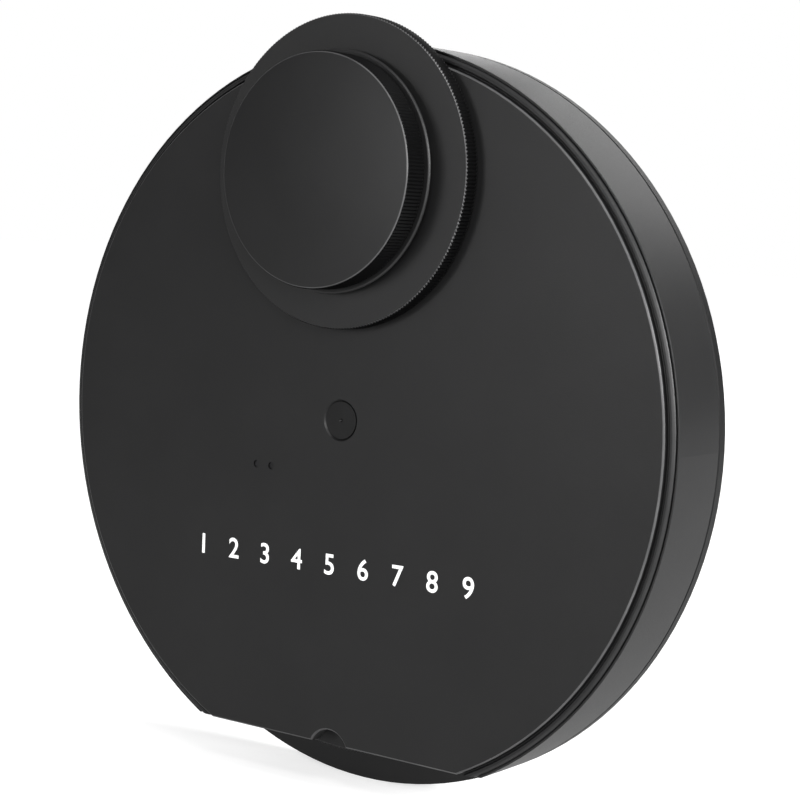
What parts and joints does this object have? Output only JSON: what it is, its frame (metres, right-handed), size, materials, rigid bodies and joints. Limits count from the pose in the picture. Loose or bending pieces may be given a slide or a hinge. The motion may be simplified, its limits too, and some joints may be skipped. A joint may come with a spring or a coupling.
{
  "type": "optical filter wheel",
  "caption": "Manual optical filter wheel: round flat housing, thumb-turned carousel of threaded filter cells, threaded ports front and rear, knurled front flange and lift-off dust cap.",
  "frame": {"origin": "on the optical axis, at the rear port ring's outer face, where a telescope or adapter seats", "axes": "+Y along the optical axis out of the rear port; the front plate, flange and cap face -Y; +Z from the carousel's pivot towards the optical axis, up"},
  "size_m": [0.15, 0.0344, 0.1546],
  "materials": {
    "housing_black": "satin black anodised over a fine blast",
    "port_black": "satin black anodised, turned",
    "cap_black": "satin black anodised, turned",
    "carousel_black": "satin black anodised over a fine blast",
    "axle_black": "blackened, turned",
    "black_steel": "black oxide",
    "bright_steel": "plain",
    "spring_steel": "rolled, plain",
    "bronze": "turned",
    "white_plastic": "smooth low-friction sheet",
    "gasket_black": "matt fibre sheet"
  },
  "bodies": {
    "housing": {"front_shell": "housing_black", "back_cover": "housing_black", "cover_screws": "black_steel", "dowel_pins": "bright_steel", "rear_port_ring": "port_black", "axle": "axle_black", "disc_spring": "spring_steel", "retaining_washer": "bright_steel", "lock_washer": "spring_steel", "axle_screw": "bright_steel", "thrust_washer_front": "white_plastic", "detent_spring": "spring_steel", "spring_clamp": "bright_steel", "spring_rivets": "black_steel"},
    "carousel": {"carousel": "carousel_black", "hub_bush": "bronze", "thrust_washer_rear": "white_plastic"},
    "gasket": {"port_gasket": "gasket_black"},
    "adapter": {"port_adapter": "port_black"},
    "cap": {"dust_cap": "cap_black"}
  },
  "joints": [
    {"name": "carousel_spin", "type": "hinge", "parent": "housing", "child": "carousel", "pos_m": [0, -0.0138, -0.0489], "axis": [0, -1, 0], "continuous": true, "deforming": ["detent_spring"]},
    {"name": "adapter_lift", "type": "slide", "parent": "housing", "child": "gasket", "axis": [0, -1, 0], "range_m": [0, 0.00227]},
    {"name": "adapter_turn", "type": "hinge", "parent": "gasket", "child": "adapter", "pos_m": [0, -0.0229, 0], "axis": [0, -1, 0], "range_deg": [0, 1080]},
    {"name": "cap_lift", "type": "slide", "parent": "adapter", "child": "cap", "axis": [0, -1, 0], "range_m": [0, 0.02]}
  ],
  "couplings": [
    {"joint": "adapter_lift", "follows": "adapter_turn", "m_per_rad": 0.00011937}
  ]
}
